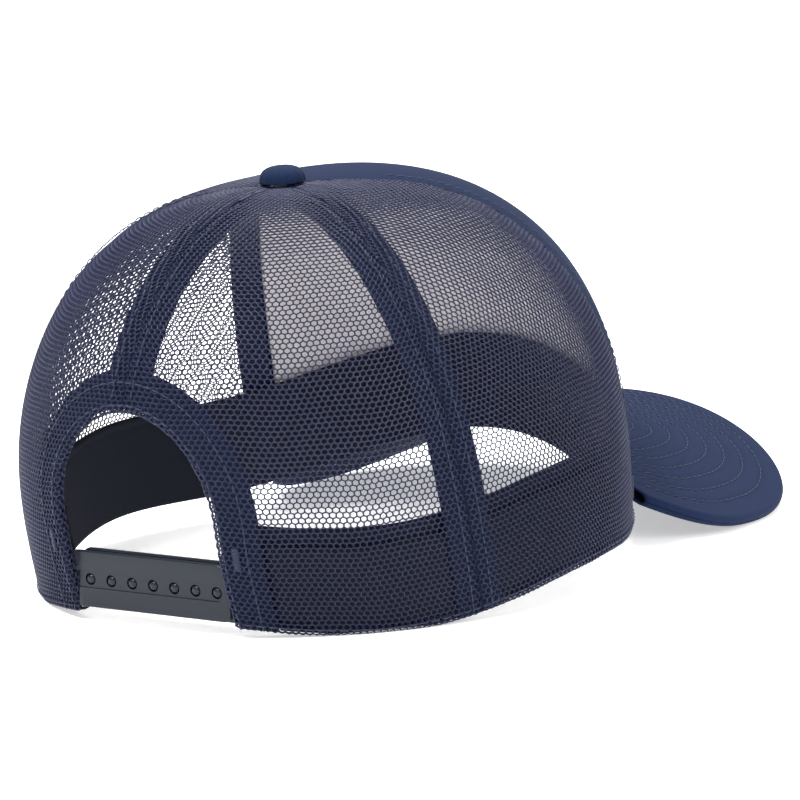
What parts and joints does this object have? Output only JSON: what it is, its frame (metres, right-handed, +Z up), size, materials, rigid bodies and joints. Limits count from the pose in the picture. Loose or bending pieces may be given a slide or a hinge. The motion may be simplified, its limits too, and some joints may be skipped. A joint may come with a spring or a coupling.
{
  "type": "trucker cap",
  "caption": "Trucker cap with a woven front panel, mesh sides and back, curved brim, top button and a plastic snap strap across the open back.",
  "frame": {"origin": "middle of the footprint, on the surface the cap rests on", "axes": "+Z up, the brim points to -Y, the wearer's right is -X"},
  "size_m": [0.1732, 0.278, 0.1233],
  "materials": {
    "cloth": "navy woven twill, matte",
    "backing": "light grey backing, matte",
    "mesh": "honeycomb knit, navy yarn",
    "tape": "woven tape, dark navy",
    "sweatband": "woven, near black",
    "lining": "soft non-woven strip",
    "board": "sheet polyethylene",
    "metal": "pressed steel",
    "strap": "satin moulded plastic, dark slate"
  },
  "bodies": {
    "crown": {"front_panel": "cloth", "front_backing": "backing", "mesh_side_right": "mesh", "mesh_side_left": "mesh", "mesh_back_right": "mesh", "mesh_back_left": "mesh", "tape_back": "tape", "tape_side_right": "tape", "tape_side_left": "tape", "tape_front_right": "tape", "tape_front_left": "tape", "opening_tape": "tape", "sweatband": "sweatband", "sweatband_lining_right": "lining", "sweatband_lining_left": "lining", "brim_board": "board", "brim_top_cover": "cloth", "brim_under_cover": "cloth", "button_cover": "cloth", "button_shell": "metal", "button_rivet": "metal", "strap_outer_tab": "strap", "strap_inner_tab": "strap"},
    "outer_strap": {"strap_outer": "strap"},
    "inner_strap": {"strap_inner": "strap"}
  },
  "joints": [
    {"name": "outer_strap_swing", "type": "hinge", "parent": "crown", "child": "outer_strap", "pos_m": [0.0253, 0.12692, 0.0127], "axis": [0, -0.075, -0.9972], "range_deg": [0, 70], "stiffness_Nm_per_rad": 0.005},
    {"name": "inner_strap_swing", "type": "hinge", "parent": "crown", "child": "inner_strap", "pos_m": [-0.0253, 0.12527, 0.01282], "axis": [0, -0.075, -0.9972], "range_deg": [0, 30], "stiffness_Nm_per_rad": 0.005}
  ]
}
